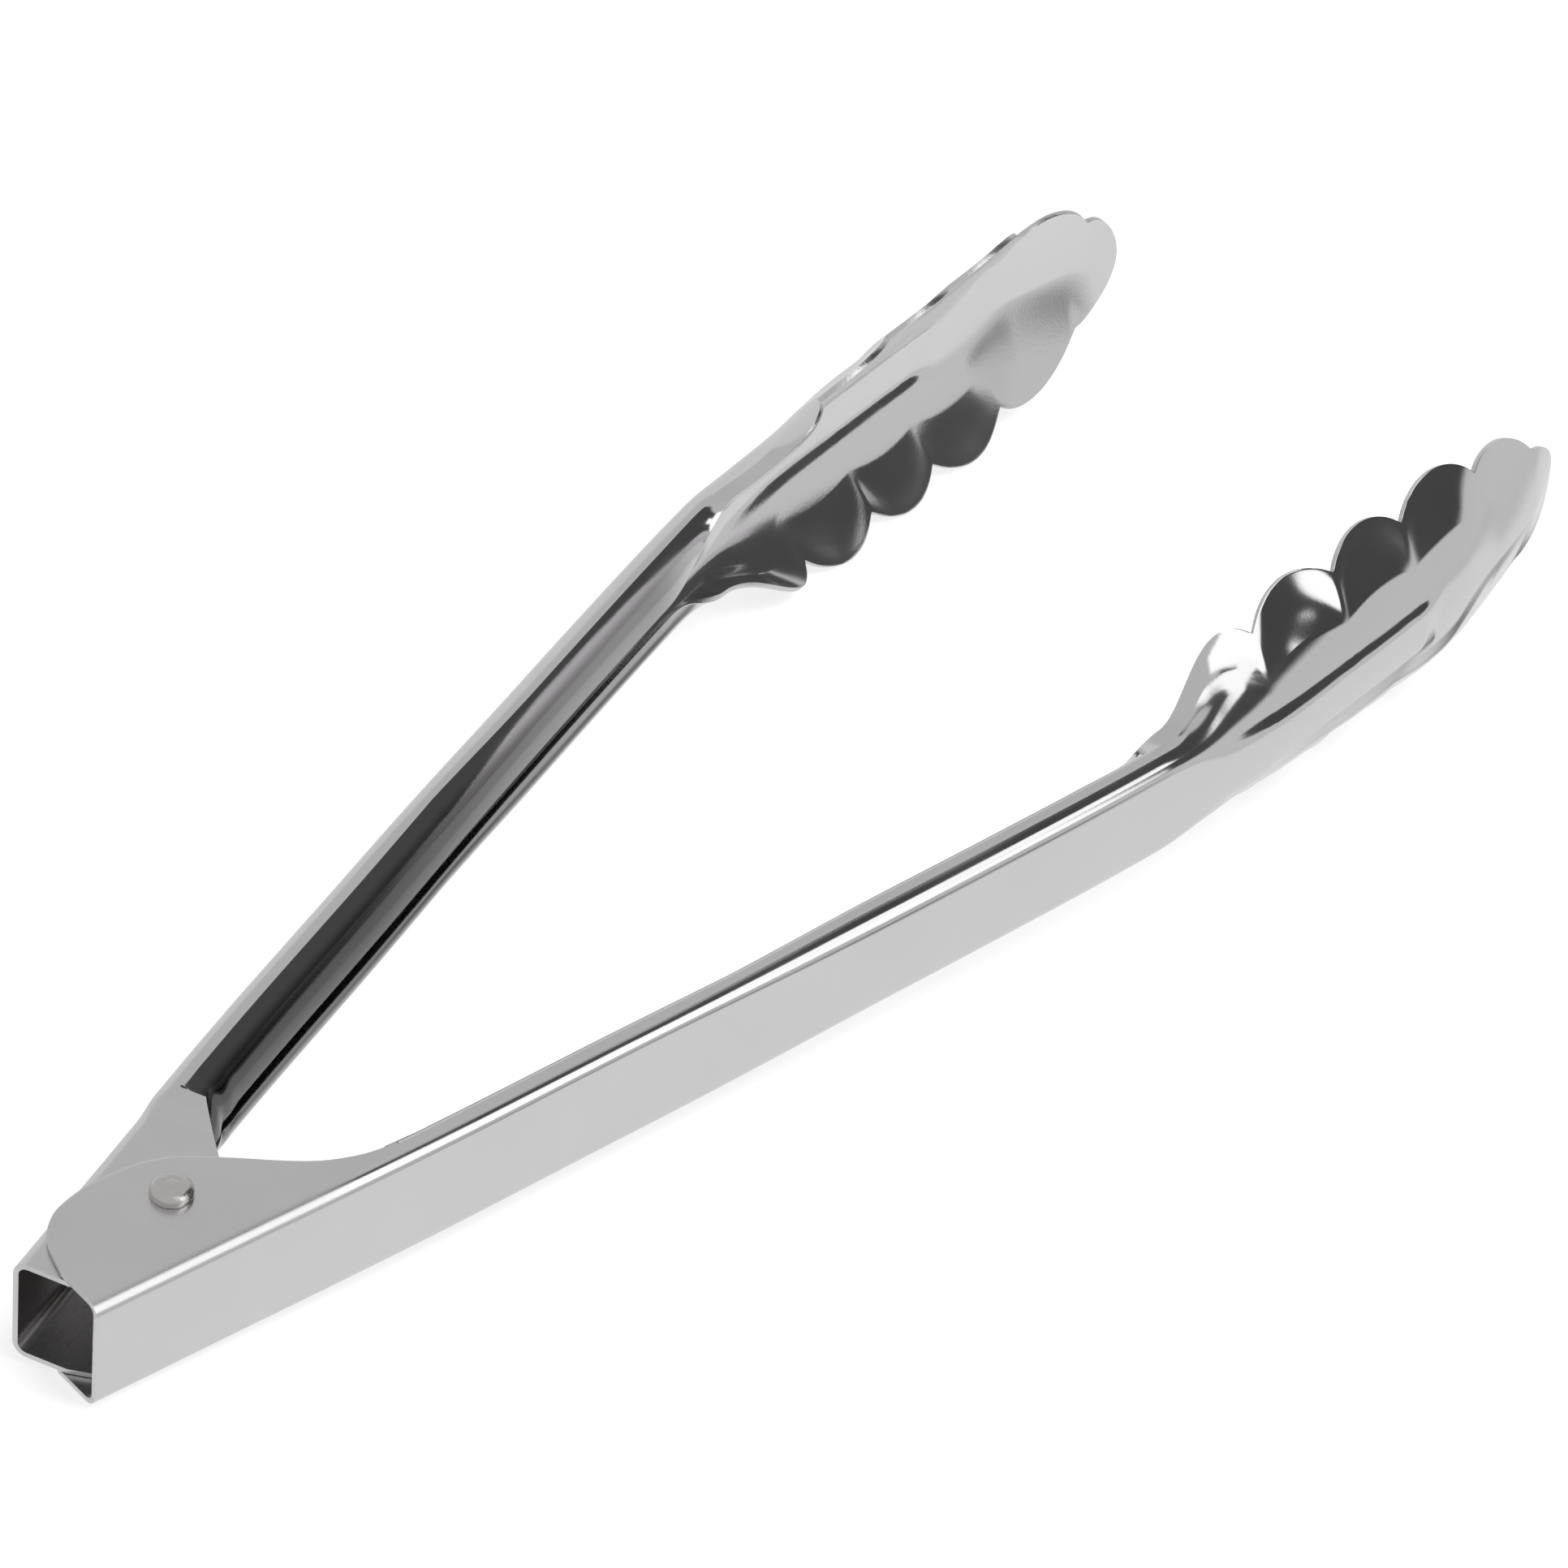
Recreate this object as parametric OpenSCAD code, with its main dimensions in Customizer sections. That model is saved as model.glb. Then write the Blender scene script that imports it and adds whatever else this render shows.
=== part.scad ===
// Spring loaded kitchen tongs, all pressed sheet steel.
// Origin: on the pivot axis, at the face of the formed rivet head. +X runs from the hinge to the
// tips, +Z along the pivot towards the domed rivet head. The arms lie open, one each side of X.

/* [Arms] */
// Distance from the pivot axis to the tip of an arm
reach = 237; // [233:0.5:245]
// Distance from the pivot axis back to the end of the tail
tail = 18; // [17.5:0.5:20]
// Sheet thickness
sheet = 0.7; // [0.6:0.05:0.8]
// Height of the outer arm's channel, across its two cheeks
channel_h = 16.6; // [15.5:0.1:17]
// Distance from the centre plane to the outer face of the web at the hinge
web_y = 10.8; // [10.3:0.05:11.2]
// Depth of the channel from the web to its rolled lips
channel_d = 5.4; // [4.5:0.1:6]
// Gap left between the two rolled lips
lip_gap = 1.4; // [1:0.1:4]
// Outer radius of the bend between web and cheek
bend_r = 1.9; // [1.3:0.1:2.2]
// Radius of the rolled lip
lip_r = 1.4; // [1:0.1:1.8]

/* [Gripping heads] */
// Half width of a head at its notches
notch_w = 15.0; // [13:0.1:16]
// How far each scallop bulges past its notches
scallop = 3.2; // [2:0.1:3.6]
// Height of the stiffening rib along the head
rib_h = 1.0; // [0.5:0.1:1.4]
// Half width of the stiffening rib
rib_w = 4.2; // [3.5:0.1:5]

/* [Pivot] */
// Angle between the two arms when they stand open
open_angle = 25.2; // [22:0.1:25.2]
// Diameter of the rivet shank
rivet_d = 3.2; // [2.8:0.1:3.6]
// Diameter of the rivet heads
head_d = 5.4; // [4.8:0.1:6.5]
// Height of the domed rivet head
head_h = 1.7; // [1:0.1:2.2]
// Height of the formed rivet head
formed_h = 1.0; // [0.6:0.1:1.4]
// Running clearance between rivet and inner arm, on the radius
running = 0.05; // [0.02:0.01:0.08]
// Clearance between nested cheeks
nest = 0.08; // [0.05:0.01:0.15]
// Clearance between rivet and outer arm, on the radius
bore_fit = 0.01; // [0.01:0.01:0.03]

/* [Spring] */
// Wire diameter of the return spring
wire_d = 1.1; // [0.9:0.1:1.2]
// Mean radius of the coil
coil_r = 3.2; // [2.9:0.1:3.5]
// Turns of the coil
turns = 6; // [4:1:7]
// Length of each leg
leg = 17; // [14:1:18]

/* [Hidden] */
steel = [0.78, 0.78, 0.80];
mid_z = formed_h + channel_h / 2; // height of the tongs' middle plane above the origin
outer_hz = channel_h / 2;
inner_hz = outer_hz - sheet - nest;

// Middle line of the outer face: distance along the arm, distance out from the centre plane
spine = [
    [-tail, web_y], [0, web_y], [30, web_y], [60, web_y - 0.65], [90, web_y - 1.1],
    [130, web_y - 2.4], [150, web_y - 3.5], [168, web_y - 4.7], [184, web_y - 8.2],
    [204, web_y - 12.5], [218, web_y - 17], [230, web_y - 22.2], [reach, web_y - 26.4],
];
// Smooth line through the notches of the head, the same way
rim = [
    [140, 3], [152, 1.2], [169, -1], [185, -3.5], [199, -6], [214, -9.4], [229.5, -13.3],
    [reach, web_y - 26.4],
];
// Half width of the head along the same notches
spread = [
    [140, 8], [152, 8.4], [160, 11.6], [169, notch_w - 1], [185, notch_w + 0.1],
    [199, notch_w + 0.4], [214, notch_w], [229.5, notch_w - 5.6],
];
notches = [152, 169, 185, 199, 214, 229.5];
// Edge of the cheek around the pivot: distance along the arm, distance out from the centre plane
cheek = [
    [-tail, 3.4], [-16.6, -1.2], [-14, -4.4], [-11, -5.9], [-6, -6.8], [0, -6.4], [4, -5],
    [8.5, -1.7], [16.5, 4.6],
];
slit_x = 16.5; // where the cheek stops and the rolled lip begins
bend_room = 1.0; // room left for the bend inside the outer arm where the inner cheek stops
neck_from = 138;
neck_to = 160;

function clamp01(t) = min(1, max(0, t));
function ease(t) = let (c = clamp01(t)) c * c * (3 - 2 * c);
function mix(a, b, t) = a + (b - a) * t;

// Smooth value at x through a short list of [x, value], with slopes taken from its neighbours
function slope_at(p, i) =
    i == 0 ? (p[1][1] - p[0][1]) / (p[1][0] - p[0][0])
    : i == len(p) - 1 ? (p[i][1] - p[i - 1][1]) / (p[i][0] - p[i - 1][0])
    : (p[i + 1][1] - p[i - 1][1]) / (p[i + 1][0] - p[i - 1][0]);
function piece_of(p, x) = max([0, for (i = [0:len(p) - 2]) if (x >= p[i][0]) i]);
function along(p, x) =
    let (i = piece_of(p, x), w = p[i + 1][0] - p[i][0], t = clamp01((x - p[i][0]) / w))
    p[i][1] * (1 + 2 * t) * (1 - t) * (1 - t) + w * slope_at(p, i) * t * (1 - t) * (1 - t)
    + p[i + 1][1] * t * t * (3 - 2 * t) - w * slope_at(p, i + 1) * t * t * (1 - t);

// How far the scallop stands past the line through its two notches
function scallop_at(x) =
    let (i = piece_of([for (n = notches) [n, 0]], x), a = notches[i], b = notches[i + 1])
    let (c = (b - a) / 2, r = (c * c + scallop * scallop) / (2 * scallop), d = x - (a + b) / 2)
    x < notches[0] || x > notches[5] ? 0 : sqrt(max(0, r * r - d * d)) - r + scallop;
// The last lobe closes the head at the tip
tip_from = notches[5];
function tip_w(x) = (notch_w - 5.6) * sqrt(max(0, 1 - pow((x - tip_from) / (reach - tip_from), 2)));
function edge_z(x) = x > tip_from ? max(0.4, tip_w(x)) : along(spread, x) + 0.8 * scallop_at(x);
function edge_y(x) = along(rim, x) - 0.55 * scallop_at(x);

// Section of the handle: web, bend, flange, rolled lip. s runs from the web's middle to the edge
function arc_point(cy, cz, r, a) = [cy + r * cos(a), cz + r * sin(a)];
function channel_point(y0, hz, s) =
    let (yl = y0 - channel_d)
    s < 0.3 ? [y0, (hz - bend_r) * s / 0.3]
    : s < 0.45 ? arc_point(y0 - bend_r, hz - bend_r, bend_r, 90 * (s - 0.3) / 0.15)
    : s < 0.6 ? [mix(y0 - bend_r, yl + lip_r, (s - 0.45) / 0.15), hz]
    : s < 0.8 ? arc_point(yl + lip_r, hz - lip_r, lip_r, 90 + 90 * (s - 0.6) / 0.2)
    : [yl, mix(hz - lip_r, lip_gap / 2, (s - 0.8) / 0.2)];
// Section of the hinge end: web, bend, flat cheek
function cheek_point(y0, hz, ye, s) =
    s < 0.3 ? [y0, (hz - bend_r) * s / 0.3]
    : s < 0.45 ? arc_point(y0 - bend_r, hz - bend_r, bend_r, 90 * (s - 0.3) / 0.15)
    : [mix(y0 - bend_r, ye, (s - 0.45) / 0.55), hz];
// Section of the head: a shallow bowl with a rib along its middle
function rib_at(x, z) =
    rib_h * ease((rib_w + 0.6 - abs(z)) / 1.6) * ease((205 - x) / 5) * ease((x - 150) / 14);
function bowl_point(x, s) =
    let (yc = along(spine, x), z = edge_z(x) * s, y = yc - (yc - edge_y(x)) * pow(s, 2.1))
    [y - (x > 150 ? rib_h * ease((x - 150) / 14) * ease((212 - x) / 14) : 0) + rib_at(x, z), z];

// The inner cheek has a straight edge that meets the outer arm's web when the tongs are open
function stop_line(x) = -(web_y - sheet - bend_room + x * sin(open_angle)) / cos(open_angle);
function cheek_edge(x, inner) = inner ? max(along(cheek, x), stop_line(x)) : along(cheek, x);

// Half height of the channel: the inner arm is pinched in where it nests inside the outer one
function half_h(x, inner) = inner ? mix(inner_hz, outer_hz, ease((x - 10.5) / 4.5)) : outer_hz;

function section(x, s, inner) =
    let (y0 = along(spine, x), hz = half_h(x, inner))
    x <= slit_x ? cheek_point(y0, hz, cheek_edge(x, inner), s)
    : x <= neck_from ? channel_point(y0, hz, s)
    : let (k = ease((x - neck_from) / (neck_to - neck_from)))
      mix(channel_point(y0, hz, s), bowl_point(x, s), k);

// Point on the arm's outer face. v runs from -1 at one edge to 1 at the other
function skin(x, v, inner) =
    let (q = section(x, abs(v), inner)) [x, q[0], v < 0 ? -q[1] : q[1]];

half_s = [0, 0.15, 0.3, 0.35, 0.4, 0.45, 0.53, 0.6, 0.65, 0.7, 0.75, 0.8, 0.9, 1];
across = concat([for (i = [len(half_s) - 1:-1:1]) -half_s[i]], half_s);
stations = concat(
    [-tail, -17, -16, -15, -13, -11, -8.5, -6, -3, 0, 4, 8.5, 10.5, 12, 13.5, 15, slit_x],
    [17.5, 30, 50, 70, 90, 110, 125, neck_from, 142, 146, 149, 152, 154, 156.5, 159.5, 163, 166.5],
    [169, 171.5, 174.5, 177, 179.5, 182.5, 185, 187.5, 190, 192, 194, 196.5, 199, 201, 203.5],
    [206.5, 209.5, 212, 214, 216.5, 219.5, 223, 226.5, tip_from],
    [for (t = [0.25, 0.5, 0.72, 0.88, 1]) mix(tip_from, reach, t)]
);

function unit(a) = a / norm(a);
function grid(inner) = [for (x = stations) [for (v = across) skin(x, v, inner)]];
function normal_at(g, i, j) =
    let (n = len(g), m = len(g[0]))
    unit(cross(
        g[i][min(m - 1, j + 1)] - g[i][max(0, j - 1)],
        g[min(n - 1, i + 1)][j] - g[max(0, i - 1)][j]
    ));
function thicken(g) = [
    for (i = [0:len(g) - 1]) [for (j = [0:len(g[0]) - 1]) g[i][j] - sheet * normal_at(g, i, j)]
];

// Closed sheet between the outer grid and the same grid moved in by the sheet thickness
module sheet_body(g) {
    n = len(g);
    m = len(g[0]);
    h = thicken(g);
    points = concat([for (row = g) each row], [for (row = h) each row]);
    inner_start = n * m;
    skin_faces = [
        for (i = [0:n - 2]) for (j = [0:m - 2]) let (a = i * m + j, b = a + 1, c = a + m, d = c + 1)
        each [
            [a, c, b],
            [b, c, d],
            [inner_start + a, inner_start + b, inner_start + c],
            [inner_start + b, inner_start + d, inner_start + c],
        ]
    ];
    loop = concat(
        [for (j = [0:m - 1]) j],
        [for (i = [1:n - 1]) i * m + m - 1],
        [for (j = [m - 2:-1:0]) (n - 1) * m + j],
        [for (i = [n - 2:-1:1]) i * m]
    );
    rim_faces = [
        for (k = [0:len(loop) - 1]) let (a = loop[k], b = loop[(k + 1) % len(loop)])
        each [[a, b, inner_start + a], [b, inner_start + b, inner_start + a]]
    ];
    polyhedron(points, concat(skin_faces, rim_faces));
}

module arm(inner, bore_r) {
    difference() {
        sheet_body(grid(inner));
        cylinder(h = 3 * channel_h, r = bore_r, center = true, $fn = 64);
    }
}

module outer_arm() {
    color(steel)
        translate([0, 0, mid_z])
            rotate([0, 0, -open_angle / 2])
                mirror([0, 1, 0])
                    arm(false, rivet_d / 2 + bore_fit);
}

module inner_arm() {
    color(steel)
        translate([0, 0, mid_z])
            rotate([0, 0, open_angle / 2])
                arm(true, rivet_d / 2 + running);
}

// Rivet: shank through the four cheeks, domed factory head above, flat formed head below
module pivot_rivet() {
    top = formed_h + channel_h;
    dome_r = (head_d * head_d / 4 + head_h * head_h) / (2 * head_h);
    color("silver") {
        cylinder(h = formed_h, d = head_d, $fn = 64);
        cylinder(h = top, d = rivet_d, $fn = 64);
        intersection() {
            translate([0, 0, top])
                cylinder(h = head_h, d = head_d - 0.1, $fn = 64);
            translate([0, 0, top + head_h - dome_r - 0.1])
                sphere(r = dome_r + 0.1, $fn = 96);
        }
    }
}

// Torsion spring: a coil round the rivet, each leg lying along the inside of one web
coil_h = turns * wire_d * 1.15;
leg_out = web_y - sheet - wire_d / 2 - 0.15; // wire centre when the leg rests on the web
leg_angle = open_angle / 2 + asin((leg_out - coil_r) / leg);
steps = 12 * turns;
half_turn = (90 + leg_angle);
function coil(i) =
    let (t = i / steps, a = mix(-half_turn, half_turn + 360 * turns - 360, t))
    [coil_r * cos(a), coil_r * sin(a), mix(-coil_h / 2, coil_h / 2, t)];
function leg_point(side, d) =
    let (a = side * (90 + leg_angle), z = side * coil_h / 2)
    [coil_r * cos(a) + d * cos(leg_angle), coil_r * sin(a) + side * d * sin(leg_angle), z];
wire_path = concat(
    [for (d = [leg, leg / 2, 1]) leg_point(-1, d)],
    [for (i = [0:steps]) coil(i)],
    [for (d = [1, leg / 2, leg]) leg_point(1, d)]
);

module swept_wire(path, r, sides) {
    n = len(path);
    up = [0, 0, 1];
    rings = [
        for (i = [0:n - 1])
        let (t = unit(path[min(n - 1, i + 1)] - path[max(0, i - 1)]))
        let (side = unit(cross(up, t)), over = cross(t, side))
        for (k = [0:sides - 1]) let (a = 360 * k / sides)
        path[i] + r * (cos(a) * side + sin(a) * over)
    ];
    walls = [
        for (i = [0:n - 2]) for (k = [0:sides - 1])
        let (a = i * sides + k, b = i * sides + (k + 1) % sides)
        each [[a, a + sides, b], [b, a + sides, b + sides]]
    ];
    first = [[for (k = [0:sides - 1]) k]];
    last = [[for (k = [sides - 1:-1:0]) (n - 1) * sides + k]];
    polyhedron(rings, concat(walls, first, last));
}

module return_spring() {
    color("gray")
        translate([0, 0, mid_z])
            swept_wire(wire_path, wire_d / 2, 8);
}

outer_arm();
inner_arm();
pivot_rivet();
return_spring();
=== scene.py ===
from math import radians, sin, cos, pi

import bpy
import numpy as np
from mathutils import Matrix, Vector


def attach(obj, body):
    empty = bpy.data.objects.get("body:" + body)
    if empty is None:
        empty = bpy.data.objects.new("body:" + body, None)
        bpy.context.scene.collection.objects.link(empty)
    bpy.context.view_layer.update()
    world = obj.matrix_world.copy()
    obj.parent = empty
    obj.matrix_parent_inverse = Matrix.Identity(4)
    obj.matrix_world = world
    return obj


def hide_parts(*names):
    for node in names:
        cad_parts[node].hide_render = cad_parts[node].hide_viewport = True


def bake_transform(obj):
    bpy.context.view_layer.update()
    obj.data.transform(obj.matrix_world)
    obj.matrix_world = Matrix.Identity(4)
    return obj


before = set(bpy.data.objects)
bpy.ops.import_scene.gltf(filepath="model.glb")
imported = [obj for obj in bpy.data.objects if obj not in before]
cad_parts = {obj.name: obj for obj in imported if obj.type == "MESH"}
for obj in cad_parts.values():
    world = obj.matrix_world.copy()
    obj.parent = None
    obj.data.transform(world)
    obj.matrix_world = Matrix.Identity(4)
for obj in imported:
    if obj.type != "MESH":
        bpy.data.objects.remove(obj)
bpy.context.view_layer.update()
mm = 0.001
print("frame loaded:", len(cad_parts), "nodes")

# where the pressed steel lies: everything below is in millimetres, from the pivot outwards
pivot = {
    "midHeight": 9.3,  # middle plane above the formed rivet head
    "halfOpen": 12.6,  # half the angle between the open arms
}

arm = {
    "reach": 236.7,
    "tail": 18.0,
    "sheet": 0.7,
    "halfHeight": 8.1,
    "webOut": 10.63,
    "bendRadius": 1.9,
    "wideBend": 2.8,  # softer bend from here to the head
    "wideFrom": 62.0,
    "wideTo": 104.0,
    "crown": 0.35,
    "topDepth": 2.55,  # where the flange turns down into the lip
    "lipDepth": 6.1,
    "lipShoulder": 4.8,
    "lipEdge": 0.95,
    "cornerRadius": 0.9,
    "slitAt": 16.5,  # inner arm, beside the hinge
    "slitOuter": 26.5,  # the outer arm keeps its cheek a little farther
    "bendRoom": 1.0,
    "slitGap": 0.4,
    "neckFrom": 134.0,
    "bowlFrom": 148.0,
    "bowlTo": 172.0,
    "nestGap": 0.1,
    "tipHalf": 9.1,
    "tipRound": 1.7,
    "edgeBreak": 0.14,  # the softened edges of the sheet
    "edgeAngle": 50.0,
}
# how far the web has come in, along the arm
webDrop = [(-19, 0), (0, 0), (30, 0), (60, 0.65), (90, 1.1), (130, 2.4), (150, 3.5), (168, 5.2),
           (184, 8.2), (204, 12.5), (218, 17.0), (230, 22.2), (236.7, 26.4)]
# the rim of the head at its notches: along, out
rimLine = [(136, 3.2), (152, 1.2), (169, -1.0), (185, -3.5), (199, -6.0), (214, -9.4),
           (229.5, -13.3), (236.7, -15.7)]
rimSpread = [(136, 8.0), (152, 8.1), (160, 11.6), (169, 13.8), (185, 14.9), (199, 15.1),
             (214, 14.7), (229.5, 9.1)]
notches = [151.4, 169.0, 184.8, 198.9, 214.7, 230.0]
# how deep each lobe is dished, as a share of its rise
dishLine = [(150, 0.04), (166, 0.06), (177, 0.3), (188, 0.22), (199, 0.14), (214, 0.06), (224, 0),
            (237, 0)]
lobeRise = [4.4, 2.75, 2.85, 3.15, 3.3]
cheekLine = [(-18.0, 3.4), (-16.6, -1.2), (-14, -4.4), (-11, -5.9), (-6, -6.8), (0, -6.4),
             (4, -5), (8.5, -1.7), (16.5, 4.6), (21.8, 7.0), (27.0, 7.85)]


def smoothLine(points, x):
    # smooth curve through a short list of points
    px = np.array([p[0] for p in points], float)
    py = np.array([p[1] for p in points], float)
    slope = np.empty_like(py)
    slope[1:-1] = (py[2:] - py[:-2]) / (px[2:] - px[:-2])
    slope[0] = (py[1] - py[0]) / (px[1] - px[0])
    slope[-1] = (py[-1] - py[-2]) / (px[-1] - px[-2])
    x = min(max(x, px[0]), px[-1])
    i = min(max(int(np.searchsorted(px, x, side="right")) - 1, 0), len(px) - 2)
    w = px[i + 1] - px[i]
    t = (x - px[i]) / w
    return (py[i] * (1 + 2 * t) * (1 - t) ** 2 + w * slope[i] * t * (1 - t) ** 2
            + py[i + 1] * t * t * (3 - 2 * t) - w * slope[i + 1] * t * t * (1 - t))


def ease(t):
    t = np.clip(t, 0, 1)
    return t * t * (3 - 2 * t)


def lobeBulge(x):
    for a, b, rise in zip(notches[:-1], notches[1:], lobeRise):
        if a <= x <= b:
            half = (b - a) / 2
            r = (half * half + rise * rise) / (2 * rise)
            return np.sqrt(max(0, r * r - (x - (a + b) / 2) ** 2)) - r + rise
    return 0.0


def evenPoints(points, count):
    gaps = np.linalg.norm(np.diff(points, axis=0), axis=1)
    run = np.concatenate([[0], np.cumsum(gaps)])
    t = np.linspace(0, run[-1], count)
    return np.stack([np.interp(t, run, points[:, k]) for k in range(2)], 1)


# points across half of the section
columns = {"web": 8, "bend": 12, "top": 4, "lip": 26}
# sections along the arm
stations = {"cheek": 48, "lipStart": 22, "handle": 60, "head": 170, "tip": 24}


def webAndBend(x, half):
    # web, bend and flat top: the stretch that runs the whole length of the handle
    k = ease((x - arm["wideFrom"]) / (arm["wideTo"] - arm["wideFrom"]))
    r = arm["bendRadius"] * (1 - k) + arm["wideBend"] * k
    crown = arm["crown"] * k
    pts = [(crown * (z / half) ** 2, z) for z in np.linspace(0, half - r, columns["web"])]
    start = pts[-1][0]
    pts += [(start + r * (1 - cos(a)), half - r + r * sin(a))
            for a in np.linspace(0, pi / 2, columns["bend"] + 1)[1:]]
    end = pts[-1][0]
    top = max(arm["topDepth"], end + 0.3)
    pts += [(d, half) for d in np.linspace(end, top, columns["top"] + 1)[1:]]
    return pts, top


# the end of the lip beside the slit is crushed inwards
lipEnd = {
    "flare": 1.1,
    "flareOver": 9,
    "dent": 0.45,
    "dentAt": 4.2,
    "dentWidth": 1.5,
    "lowered": 0.5,
}


def lipSection(x, half, top, slit):
    # the corner, the slanted shoulder and the lip that comes down to the middle
    c = arm["cornerRadius"]
    slant = np.arctan2(arm["lipDepth"] - 0.5 - top, half - arm["lipShoulder"])
    corner = [(top + c * sin(a), half - c + c * cos(a)) for a in np.linspace(0, pi / 2 - slant, 8)]
    p0 = np.array(corner[-1])
    p1 = p0 + np.array((sin(slant), -cos(slant))) * 3.2
    p2 = np.array((arm["lipDepth"], arm["lipShoulder"] - 1.2))
    p3 = np.array((arm["lipDepth"], arm["lipEdge"]))
    curve = [(1 - t) ** 3 * p0 + 3 * (1 - t) ** 2 * t * p1 + 3 * (1 - t) * t * t * p2 + t ** 3 * p3
             for t in np.linspace(0, 1, 26)[1:]]
    lip = evenPoints(np.array(corner + curve), columns["lip"] + 1)[1:]
    u = x - slit
    q = np.linspace(0, 1, columns["lip"] + 1)[1:]
    flare = ease(1 - u / lipEnd["flareOver"])
    dent = lipEnd["dent"] * np.exp(-((u - lipEnd["dentAt"]) / lipEnd["dentWidth"]) ** 2)
    lip[:, 0] += (lipEnd["flare"] * flare - dent) * q
    lip[:, 1] -= lipEnd["lowered"] * flare * q
    return lip


def cheekPlate(x, half, top, webAt, inner):
    edge = max(webAt - smoothLine(cheekLine, x), top + 0.1)
    if inner:
        # a straight edge that meets the outer arm's web when the tongs stand open
        a = radians(2 * pivot["halfOpen"])
        stop = -(arm["webOut"] - arm["sheet"] - arm["bendRoom"] + x * sin(a)) / cos(a)
        edge = min(edge, webAt - stop)
    d = np.linspace(top, edge, columns["lip"] + 1)[1:]
    return np.stack([d, np.full(len(d), half)], 1)


def headEdge(x):
    # half width of the head, lobes included
    tipFrom = notches[-1]
    if x <= tipFrom:
        return smoothLine(rimSpread, x) + 0.9 * lobeBulge(x)
    along = min(1, (x - tipFrom) / (arm["reach"] - tipFrom))
    return max(0.3, arm["tipHalf"] * (1 - along ** arm["tipRound"]) ** 0.5)


bowl = {
    "flatShare": 0.97,  # how much of the width the handle's own columns cover at the neck
    "shareLoss": 0.37,
    "shareFrom": 152,
    "shareOver": 22,
    "curl": 2.1,  # how steeply the section climbs to its rim
    "tipCurl": 0.8,  # how much less steeply at the tip
    "tipCurlFrom": 210,
    "tipCurlOver": 10,
    "dishFrom": 0.6,  # each lobe is dished outside this share of the width
}
rib = {
    "height": 0.7,
    "width": 4.2,
    "from": 150,
    "end": 205.0,
    "rampOver": 14,
    "edge": 1.8,
    "endOver": 5,
}


def bowlSection(x):
    webAt = arm["webOut"] - smoothLine(webDrop, x)
    edge = headEdge(x)
    middle = columns["web"] - 1 + columns["bend"] + columns["top"]
    share = bowl["flatShare"] - bowl["shareLoss"] * ease((x - bowl["shareFrom"]) / bowl["shareOver"])
    z = edge * np.concatenate([np.linspace(0, share, middle + 1),
                               np.linspace(share, 1, columns["lip"] + 1)[1:]])
    curl = bowl["curl"] - bowl["tipCurl"] * ease((x - bowl["tipCurlFrom"]) / bowl["tipCurlOver"])
    d = (webAt - smoothLine(rimLine, x)) * (z / smoothLine(rimSpread, x)) ** curl
    rise = rib["height"] * ease((x - rib["from"]) / rib["rampOver"])
    d = d + rise * ease((rib["end"] + rib["rampOver"] / 2 - x) / rib["rampOver"])
    dished = np.clip((z / edge - bowl["dishFrom"]) / (1 - bowl["dishFrom"]), 0, 1)
    d = d + smoothLine(dishLine, x) * (lobeBulge(x) * np.sin(dished * pi))
    ridge = ease((rib["width"] + 0.7 - z) / rib["edge"])
    d = d - rise * ridge * ease((rib["end"] - x) / rib["endOver"])
    return np.stack([d, z], 1)


def neckSection(first, top, x, half):
    # at the neck the lips have opened out and only the two flanges are left
    webAt = arm["webOut"] - smoothLine(webDrop, x)
    d = np.linspace(top, max(webAt - smoothLine(rimLine, x), top + 0.5), columns["lip"] + 1)[1:]
    return np.concatenate([np.array(first), np.stack([d, np.full(len(d), half)], 1)])


def armRows(inner):
    tipFrom = notches[-1]
    slit = arm["slitAt"] if inner else arm["slitOuter"]
    cheekX = -arm["tail"] + (arm["tail"] + slit) * (1 - np.cos(np.linspace(0, pi, stations["cheek"]))) / 2
    handleX = np.concatenate([
        slit + arm["slitGap"] + np.linspace(0, 12, stations["lipStart"]),
        np.linspace(slit + 14, arm["neckFrom"], stations["handle"]),
    ])
    headX = np.linspace(arm["neckFrom"] + 0.6, tipFrom, stations["head"])
    around = np.sin(np.linspace(0.08, pi / 2, stations["tip"]))  # closer together towards the end
    tipX = tipFrom + (arm["reach"] - tipFrom) * around
    xs = np.concatenate([cheekX, handleX, headX, tipX])
    slitRow = len(cheekX) - 1
    count = sum(columns.values())
    rows = []
    for i, x in enumerate(xs):
        webAt = arm["webOut"] - smoothLine(webDrop, x)
        half = arm["halfHeight"]
        if inner:
            half -= (arm["sheet"] + arm["nestGap"]) * (1 - ease((x - 10.5) / 4.5))
        first, top = webAndBend(x, half)
        if i <= slitRow:
            section = np.concatenate([np.array(first), cheekPlate(x, half, top, webAt, inner)])
        else:
            section = np.concatenate([np.array(first), lipSection(x, half, top, slit)])
            opening = ease((x - arm["neckFrom"]) / (notches[0] - arm["neckFrom"])) ** 1.3
            spread = ease((x - arm["bowlFrom"]) / (arm["bowlTo"] - arm["bowlFrom"]))
            if opening > 0:
                section = section * (1 - opening) + neckSection(first, top, x, half) * opening
            if spread > 0:
                section = section * (1 - spread) + bowlSection(x) * spread
        upper = np.stack([np.full(count, x), webAt - section[:, 0], section[:, 1]], 1)
        lower = upper[::-1].copy()
        lower[:, 2] *= -1
        rows.append(np.concatenate([lower[:-1], upper]))
    return np.array(rows), slitRow, count


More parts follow.
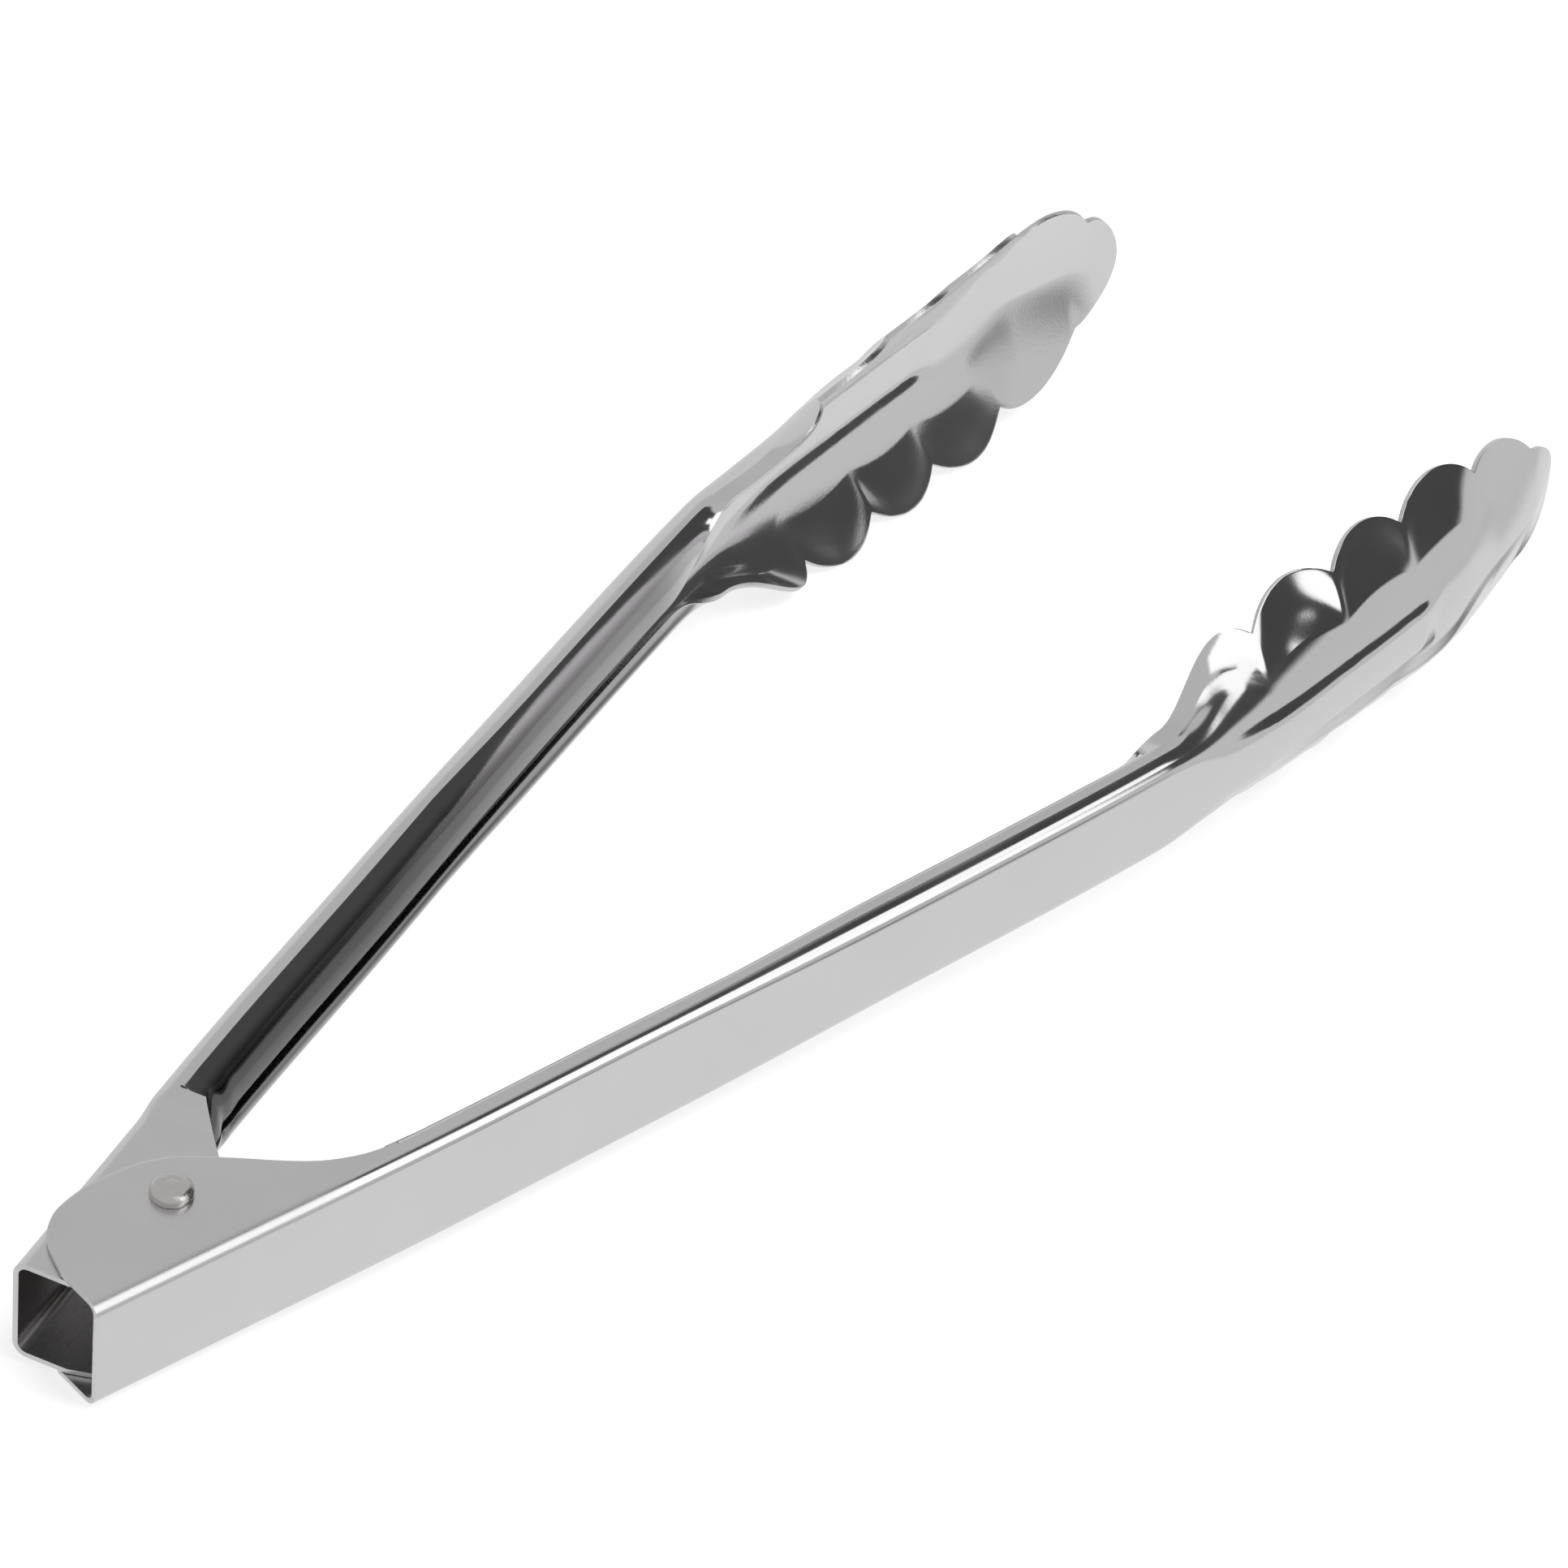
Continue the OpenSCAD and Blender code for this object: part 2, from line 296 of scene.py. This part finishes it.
def makeMesh(name, verts, faces):
    mesh = bpy.data.meshes.new(name)
    mesh.from_pydata([tuple(v) for v in verts], [], faces)
    mesh.validate()
    obj = bpy.data.objects.new(name, mesh)
    bpy.context.scene.collection.objects.link(obj)
    return obj


def applyModifiers(obj):
    bpy.context.view_layer.update()
    graph = bpy.context.evaluated_depsgraph_get()
    mesh = bpy.data.meshes.new_from_object(obj.evaluated_get(graph), preserve_all_data_layers=True,
                                           depsgraph=graph)
    old = obj.data
    obj.modifiers.clear()
    obj.data = mesh
    bpy.data.meshes.remove(old)


# painted shade: the rolled lips are darkened, most of all near the hinge
lipShade = {
    "softFrom": 5,  # columns in from the corner
    "softOver": 6,
    "fade": 0.4,
    "fadeFrom": 50,
    "fadeOver": 80,
    "neckOver": 16,
    # colour of the painted shade on the lips
    "colour": (0.13, 0.125, 0.125, 1),
}


def buildArm(name, inner):
    rows, slitRow, count = armRows(inner)
    n, m = rows.shape[:2]
    side = 1 if inner else -1
    turn = radians(pivot["halfOpen"]) * side
    x, y, z = rows[..., 0], rows[..., 1] * side, rows[..., 2]
    placed = np.stack([x * cos(turn) - y * sin(turn), x * sin(turn) + y * cos(turn),
                       z + pivot["midHeight"]], -1) * mm
    shared = columns["web"] + columns["bend"] + columns["top"] - 1  # last column both sides share
    faces = []
    for i in range(n - 1):
        for j in range(m - 1):
            farthest = max(abs(j - (count - 1)), abs(j + 1 - (count - 1)))
            if i == slitRow and farthest > shared:
                continue
            a, b, c, d = i * m + j, i * m + j + 1, (i + 1) * m + j + 1, (i + 1) * m + j
            faces.append((a, b, c, d) if inner else (a, d, c, b))
    obj = makeMesh(name, placed.reshape(-1, 3), faces)
    mesh = obj.data
    # arc length across and distance along, as the flat blank that was pressed
    steps = np.linalg.norm(np.diff(rows, axis=1), axis=2)
    across = np.concatenate([np.zeros((n, 1)), np.cumsum(steps, 1)], 1)
    across -= across[:, count - 1:count]
    uv = mesh.uv_layers.new(name="blank")
    flat = np.stack([rows[..., 0] / 100, across / 100], -1).reshape(-1, 2)
    loops = np.zeros(len(mesh.loops), int)
    mesh.loops.foreach_get("vertex_index", loops)
    uv.data.foreach_set("uv", flat[loops].astype(np.float32).ravel())
    satin = mesh.attributes.new("satin", "FLOAT", "POINT")
    plate = ease((arm["slitAt"] + 5 - rows[..., 0]) / 8) * ease((np.abs(rows[..., 2]) - 5.8) / 1.2)
    satin.data.foreach_set("value", plate.ravel().astype(np.float32))
    x = rows[..., 0]
    # painted shade on the rolled lips: a mask that fades along the arm and out at the neck
    column = np.abs(np.arange(m) - (m - 1) / 2) - (count - 1 - columns["lip"])
    lipShadeMask = ease((column - lipShade["softFrom"]) / lipShade["softOver"])
    lipShadeMask = lipShadeMask * (1 - lipShade["fade"] * ease((x - lipShade["fadeFrom"]) / lipShade["fadeOver"]))
    lipShadeMask = lipShadeMask * (1 - ease((x - arm["neckFrom"] + 4) / lipShade["neckOver"]))
    lipShadeMask = lipShadeMask * (x > (arm["slitAt"] if inner else arm["slitOuter"]))
    lipShadeLayer = mesh.attributes.new("lipShadeMask", "FLOAT", "POINT")
    lipShadeLayer.data.foreach_set("value", lipShadeMask.ravel().astype(np.float32))

    sheet = obj.modifiers.new("sheet", "SOLIDIFY")
    sheet.thickness = arm["sheet"] * mm
    sheet.offset = -1
    sheet.use_even_offset = True
    sheet.material_offset = 1
    sheet.material_offset_rim = 2
    for finish in (polishedSteel, insideSteel, cutEdgeSteel):
        obj.data.materials.append(finish)
    applyModifiers(obj)

    soft = obj.modifiers.new("edges", "BEVEL")
    soft.width = arm["edgeBreak"] * mm
    soft.segments = 2
    soft.limit_method = "ANGLE"
    soft.angle_limit = radians(arm["edgeAngle"])
    soft.harden_normals = False
    weighted = obj.modifiers.new("normals", "WEIGHTED_NORMAL")
    weighted.keep_sharp = True
    applyModifiers(obj)
    obj.data.shade_smooth()
    print(name, "pressed:", len(obj.data.polygons), "faces")
    return obj


def newMaterial(name, colour, rough, metallic=1.0):
    mat = bpy.data.materials.new(name)
    mat.use_nodes = True
    nodes = mat.node_tree.nodes
    shader = nodes["Principled BSDF"]
    shader.inputs["Base Color"].default_value = (*colour, 1)
    shader.inputs["Roughness"].default_value = rough
    shader.inputs["Metallic"].default_value = metallic
    return mat, nodes, mat.node_tree.links, shader


def addNode(nodes, kind, **values):
    node = nodes.new(kind)
    for key, value in values.items():
        if key in node.inputs:
            node.inputs[key].default_value = value
        else:
            setattr(node, key, value)
    return node


def noiseAt(nodes, links, source, stretch, scale, detail=4.0):
    mapping = addNode(nodes, "ShaderNodeMapping", Scale=stretch)
    links.new(source, mapping.inputs["Vector"])
    noise = addNode(nodes, "ShaderNodeTexNoise", Scale=scale, Detail=detail, Roughness=0.6)
    links.new(mapping.outputs["Vector"], noise.inputs["Vector"])
    return noise.outputs["Fac"]


def rangeOf(nodes, links, source, low, high, fromMin=0.3, fromMax=0.7):
    node = addNode(nodes, "ShaderNodeMapRange")
    node.inputs["From Min"].default_value = fromMin
    node.inputs["From Max"].default_value = fromMax
    node.inputs["To Min"].default_value = low
    node.inputs["To Max"].default_value = high
    links.new(source, node.inputs["Value"])
    return node.outputs["Result"]


def mixValue(nodes, links, fac, a, b):
    node = addNode(nodes, "ShaderNodeMix", data_type="FLOAT")
    links.new(fac, node.inputs[0])
    links.new(a, node.inputs[2])
    links.new(b, node.inputs[3])
    return node.outputs[0]


def colourRange(nodes, links, fac, dark, light):
    node = addNode(nodes, "ShaderNodeMix", data_type="RGBA")
    node.inputs[6].default_value = (*dark, 1)
    node.inputs[7].default_value = (*light, 1)
    links.new(fac, node.inputs[0])
    return node.outputs[2]


steelLook = {
    "light": (0.75, 0.74, 0.75),
    "dark": (0.68, 0.67, 0.68),
    "polish": 0.10,
    "satin": 0.24,
    "scratch": 0.013,
}
insideLook = {
    "light": (0.75, 0.74, 0.75),
    "polish": 0.15,
    "satin": 0.3,
    "scratch": 0.05,
    "hingeShade": (0.6, 0.59, 0.59),  # painted shade, darker inside towards the hinge end
    "hingeShadeFrom": 0.014,
    "hingeShadeTo": 0.04,
}
cutEdgeLook = {
    "light": (0.78, 0.775, 0.77),
    "dark": (0.62, 0.62, 0.62),
    "polish": 0.26,
    "satin": 0.3,
    "scratch": 0.3,
}
surface = {
    "haze": 0.05,  # how far the polish varies
    "brushed": (0.06, 0.08),  # how far the satin falls below and rises above its middle
    "relief": 0.0002,
    "cloudScale": 60,
    "grainScale": 12,
    "grainStretch": (3, 160, 1),
    "fineScale": 2200,
}


def steelFinish(name, look):
    polish, satin, haze = look["polish"], look["satin"], surface["haze"]
    mat, nodes, links, shader = newMaterial(name, look["light"], polish)
    blank = addNode(nodes, "ShaderNodeUVMap", uv_map="blank").outputs["UV"]
    place = addNode(nodes, "ShaderNodeTexCoord").outputs["Object"]
    cloud = noiseAt(nodes, links, place, (1, 1, 1), surface["cloudScale"], 3)
    grain = noiseAt(nodes, links, blank, surface["grainStretch"], surface["grainScale"], 5)
    fine = noiseAt(nodes, links, place, (1, 1, 1), surface["fineScale"], 2)
    # painted shade: the inside colour darkens towards the hinge end, along x
    if "hingeShade" in look:
        split = addNode(nodes, "ShaderNodeSeparateXYZ")
        links.new(place, split.inputs[0])
        along = addNode(nodes, "ShaderNodeMapRange", interpolation_type="SMOOTHSTEP")
        along.inputs["From Min"].default_value = look["hingeShadeFrom"]
        along.inputs["From Max"].default_value = look["hingeShadeTo"]
        links.new(split.outputs[0], along.inputs["Value"])
        tone = colourRange(nodes, links, along.outputs["Result"], look["hingeShade"], look["light"])
    else:
        tone = colourRange(nodes, links, cloud, look["dark"], look["light"])
    # painted shade: the base colour is mixed towards the dark lip colour where the lip mask is set
    lipShadeMix = addNode(nodes, "ShaderNodeMix", data_type="RGBA")
    lipShadeMix.inputs[7].default_value = lipShade["colour"]
    lipShadeLayer = addNode(nodes, "ShaderNodeAttribute", attribute_name="lipShadeMask")
    links.new(lipShadeLayer.outputs["Fac"], lipShadeMix.inputs[0])
    links.new(tone, lipShadeMix.inputs[6])
    links.new(lipShadeMix.outputs[2], shader.inputs["Base Color"])

    mask = addNode(nodes, "ShaderNodeAttribute", attribute_name="satin").outputs["Fac"]
    polished = rangeOf(nodes, links, cloud, polish - haze / 2, polish + haze)
    below, above = surface["brushed"]
    brushed = rangeOf(nodes, links, grain, satin - below, satin + above)
    links.new(mixValue(nodes, links, mask, polished, brushed), shader.inputs["Roughness"])
    bump = addNode(nodes, "ShaderNodeBump", Strength=look["scratch"],
                   Distance=surface["relief"])
    links.new(mixValue(nodes, links, mask, fine, grain), bump.inputs["Height"])
    links.new(bump.outputs["Normal"], shader.inputs["Normal"])
    return mat


polishedSteel = steelFinish("polishedSteel", steelLook)
insideSteel = steelFinish("insideSteel", insideLook)
cutEdgeSteel = steelFinish("cutEdgeSteel", cutEdgeLook)
print("finishes mixed")

outerArm = buildArm("outerArm", False)
innerArm = buildArm("innerArm", True)
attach(outerArm, "outer")
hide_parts("outer_arm")
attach(innerArm, "inner")
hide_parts("inner_arm")

rivet = {
    "shank": 1.6,
    "head": 2.65,
    "headHeight": 1.65,
    "formed": 2.7,
    "formedHeight": 1.2,
    "flat": 1.35,  # radius of the flattened centre
    "around": 72,
    "light": (0.70, 0.69, 0.67),
    "dark": (0.55, 0.54, 0.53),
    "polish": 0.24,
    "satin": 0.3,
    "scratch": 0.25,
}


def buildRivet():
    top = rivet["formedHeight"] + 2 * arm["halfHeight"]
    r, h = rivet["head"], rivet["headHeight"]
    profile = [(0, 0), (1.2, 0.02), (2.0, 0.1), (2.45, 0.3), (rivet["formed"], 0.62), (2.66, 0.85),
               (2.5, rivet["formedHeight"]), (rivet["shank"], rivet["formedHeight"]),
               (rivet["shank"], top), (r - 0.18, top), (r - 0.05, top + 0.07), (r, top + 0.2)]
    profile += [(r - 0.95 * (1 - cos(a)), top + 0.55 + (h - 0.68) * sin(a))
                for a in np.linspace(0, pi / 2, 12)]
    profile += [(rivet["flat"], top + h - 0.05), (rivet["flat"] * 0.84, top + h - 0.085),
                (0.8, top + h - 0.09), (0.7, top + h - 0.06), (0, top + h - 0.05)]
    verts, faces = [], []
    count = rivet["around"]
    ring = {}
    for k, (radius, height) in enumerate(profile):
        if radius == 0:
            ring[k] = [len(verts)] * count
            verts.append((0, 0, height * mm))
        else:
            ring[k] = list(range(len(verts), len(verts) + count))
            verts += [(radius * cos(a) * mm, radius * sin(a) * mm, height * mm)
                      for a in 2 * pi * np.arange(count) / count]
    for k in range(len(profile) - 1):
        for i in range(count):
            j = (i + 1) % count
            quad = [ring[k][i], ring[k][j], ring[k + 1][j], ring[k + 1][i]]
            face = []
            for v in quad:
                if v not in face:
                    face.append(v)
            faces.append(face)
    obj = makeMesh("pivotRivet", verts, faces)
    obj.data.materials.append(steelFinish("rivetSteel", rivet))
    obj.data.shade_smooth()
    obj.data.set_sharp_from_angle(angle=radians(50))
    return obj


pivotRivet = buildRivet()
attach(pivotRivet, "outer")
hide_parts("pivot_rivet")

spring = {
    "wire": 1.1,
    "coil": 3.2,
    "turns": 6,
    "pitch": 1.15,  # in wire thicknesses
    "leg": 17.0,
    "legGap": 0.3,  # between the leg and the web it pushes on
    "sides": 12,
    "stepsPerTurn": 36,
    "light": (0.45, 0.44, 0.43),
    "dark": (0.32, 0.31, 0.30),
    "polish": 0.25,
    "satin": 0.3,
    "scratch": 0.1,
}


def buildSpring():
    coilHeight = spring["turns"] * spring["wire"] * spring["pitch"]
    legOut = arm["webOut"] - arm["sheet"] - spring["wire"] / 2 - spring["legGap"]
    lean = radians(pivot["halfOpen"]) + np.arcsin((legOut - spring["coil"]) / spring["leg"])
    half = pi / 2 + lean
    steps = spring["turns"] * spring["stepsPerTurn"]
    path = []
    for d in (spring["leg"], spring["leg"] * 0.6, spring["leg"] * 0.3, 1.0):
        path.append((spring["coil"] * cos(half) + d * cos(lean),
                     -spring["coil"] * sin(half) - d * sin(lean), -coilHeight / 2))
    for i in range(steps + 1):
        t = i / steps
        a = -half + t * (2 * half + 2 * pi * (spring["turns"] - 1))
        path.append((spring["coil"] * cos(a), spring["coil"] * sin(a), coilHeight * (t - 0.5)))
    for d in (1.0, spring["leg"] * 0.3, spring["leg"] * 0.6, spring["leg"]):
        path.append((spring["coil"] * cos(half) + d * cos(lean),
                     spring["coil"] * sin(half) + d * sin(lean), coilHeight / 2))
    path = np.array(path)
    verts, faces = [], []
    sides = spring["sides"]
    for i in range(len(path)):
        t = path[min(i + 1, len(path) - 1)] - path[max(i - 1, 0)]
        t = t / np.linalg.norm(t)
        across = np.cross((0, 0, 1), t)
        across /= np.linalg.norm(across)
        over = np.cross(t, across)
        for k in range(sides):
            a = 2 * pi * k / sides
            p = path[i] + spring["wire"] / 2 * (cos(a) * across + sin(a) * over)
            verts.append((p[0] * mm, p[1] * mm, (p[2] + pivot["midHeight"]) * mm))
    for i in range(len(path) - 1):
        for k in range(sides):
            a, b = i * sides + k, i * sides + (k + 1) % sides
            faces.append((a, b, b + sides, a + sides))
    faces.append(tuple(range(sides))[::-1])
    faces.append(tuple(range((len(path) - 1) * sides, len(path) * sides)))
    obj = makeMesh("returnSpring", verts, faces)
    obj.data.materials.append(steelFinish("springSteel", spring))
    obj.data.shade_smooth()
    obj.data.set_sharp_from_angle(angle=radians(50))
    return obj, coilHeight


returnSpring, coilHeight = buildSpring()
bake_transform(returnSpring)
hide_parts("return_spring")
print("rivet and spring in place")

stage = {
    "floorSize": 4.0,
    "tilt": 2.5,  # the tongs lie on the rivet foot and the lower lobes of the heads
    "white": (0.5, 0.5, 0.5),
    "glow": 0.62,
}
bpy.ops.mesh.primitive_plane_add(size=stage["floorSize"], location=(0, 0, -0.0002))
floor = bpy.context.object
floor.name = "floor"
floor.rotation_euler = (0, radians(stage["tilt"]), 0)
floorMat, floorNodes, floorLinks, floorShader = newMaterial("floorPaper", stage["white"], 0.9, 0.0)
floorShader.inputs["Emission Color"].default_value = (1, 1, 1, 1)
floorShader.inputs["Emission Strength"].default_value = stage["glow"]
floor.data.materials.append(floorMat)
floor.visible_glossy = False

# soft panels round the table: direction and size in degrees, then brightness
panels = {
    "base": 0.75,
    "backdrop": 0.95,  # as the camera sees it
    "list": [
        # azimuth, elevation, half width, half height, edge softness, brightness
        (0, -60, 180, 34, 3, 1.03),  # pale table
        (52, -2, 30, 32, 6, 0.92),  # far wall
        (34, 48, 22, 14, 6, 0.72),
        (-44, -12, 22, 12, 4, 0.84),
        (-33, 29, 29, 29, 3, 0.09),  # dark side of the studio
        (2, -44, 11, 3, 3, 0.3),
        (-66, -17, 5, 4, 3, 0.35),
        (-79, 38, 17, 34, 2, 1.8),  # tall soft box
        (-59, 32, 8, 8, 2, 1.7),
    ],
}


def buildWorld():
    world = bpy.data.worlds.new("studio")
    bpy.context.scene.world = world
    world.use_nodes = True
    nodes, links = world.node_tree.nodes, world.node_tree.links
    nodes.clear()
    out = nodes.new("ShaderNodeOutputWorld")
    back = nodes.new("ShaderNodeBackground")
    links.new(back.outputs[0], out.inputs[0])
    split = nodes.new("ShaderNodeSeparateXYZ")
    links.new(nodes.new("ShaderNodeTexCoord").outputs["Generated"], split.inputs[0])

    def math(kind, a, b=None):
        node = addNode(nodes, "ShaderNodeMath", operation=kind)
        for k, value in enumerate((a, b)):
            if value is None:
                continue
            if isinstance(value, (int, float)):
                node.inputs[k].default_value = value
            else:
                links.new(value, node.inputs[k])
        return node.outputs[0]

    azimuth = math("MULTIPLY", math("ARCTAN2", split.outputs[1], split.outputs[0]), 180 / pi)
    elevation = math("MULTIPLY", math("ARCSINE", split.outputs[2]), 180 / pi)

    def inside(value, half, soft):
        # 1 within half of the middle, 0 beyond, with a soft edge
        node = addNode(nodes, "ShaderNodeMapRange", interpolation_type="SMOOTHSTEP")
        node.inputs["From Min"].default_value = half + soft
        node.inputs["From Max"].default_value = half - soft
        links.new(value, node.inputs["Value"])
        return node.outputs["Result"]

    total = panels["base"]
    for az, el, w, h, soft, bright in panels["list"]:
        turned = math("MODULO", math("ADD", math("SUBTRACT", azimuth, float(az)), 900.0), 360.0)
        mask = math("MULTIPLY", inside(math("ABSOLUTE", math("SUBTRACT", turned, 180.0)), w, soft),
                    inside(math("ABSOLUTE", math("SUBTRACT", elevation, float(el))), h, soft))
        # each panel covers those before it
        total = math("ADD", math("MULTIPLY", mask, bright),
                     math("MULTIPLY", math("SUBTRACT", 1.0, mask), total))
    lamp = nodes.new("ShaderNodeLightPath")
    shown = math("MAXIMUM", total, math("MULTIPLY", lamp.outputs["Is Camera Ray"], panels["backdrop"]))
    links.new(shown, back.inputs["Strength"])


buildWorld()

key = {
    "size": 0.9,
    "power": 14.0,
    "from": (0.3, -0.5, 1.2),
}
keyData = bpy.data.lights.new("overheadSoft", "AREA")
keyData.size = key["size"]
keyData.energy = key["power"]
keyLight = bpy.data.objects.new("overheadSoft", keyData)
bpy.context.scene.collection.objects.link(keyLight)
keyLight.location = key["from"]
keyLight.rotation_euler = Vector(key["from"]).to_track_quat("Z", "Y").to_euler()
keyLight.visible_glossy = False
keyLight.visible_camera = False

view = {
    "azimuth": -55.18,
    "elevation": 39.99,
    "roll": 5.47,
    "distance": 0.976,
    "target": (0.11444, -0.0008, 0.00939),
    "lens": 178.47,
}
camData = bpy.data.cameras.new("camera")
camData.lens = view["lens"]
camData.sensor_width = 36
camData.clip_start = 0.01
cam = bpy.data.objects.new("camera", camData)
bpy.context.scene.collection.objects.link(cam)
az, el, roll = (radians(view[k]) for k in ("azimuth", "elevation", "roll"))
back = Vector((sin(az) * cos(el), -cos(az) * cos(el), sin(el)))
right = (-back).cross(Vector((0, 0, 1))).normalized()
up = right.cross(-back)
turned = right * cos(roll) + up * sin(roll)
upper = -right * sin(roll) + up * cos(roll)
cam.matrix_world = Matrix.Translation(Vector(view["target"]) + back * view["distance"]) @ Matrix(
    (turned, upper, back)).transposed().to_4x4()
bpy.context.scene.camera = cam
bpy.context.scene.view_settings.view_transform = "Standard"
print("stage, light and camera set")
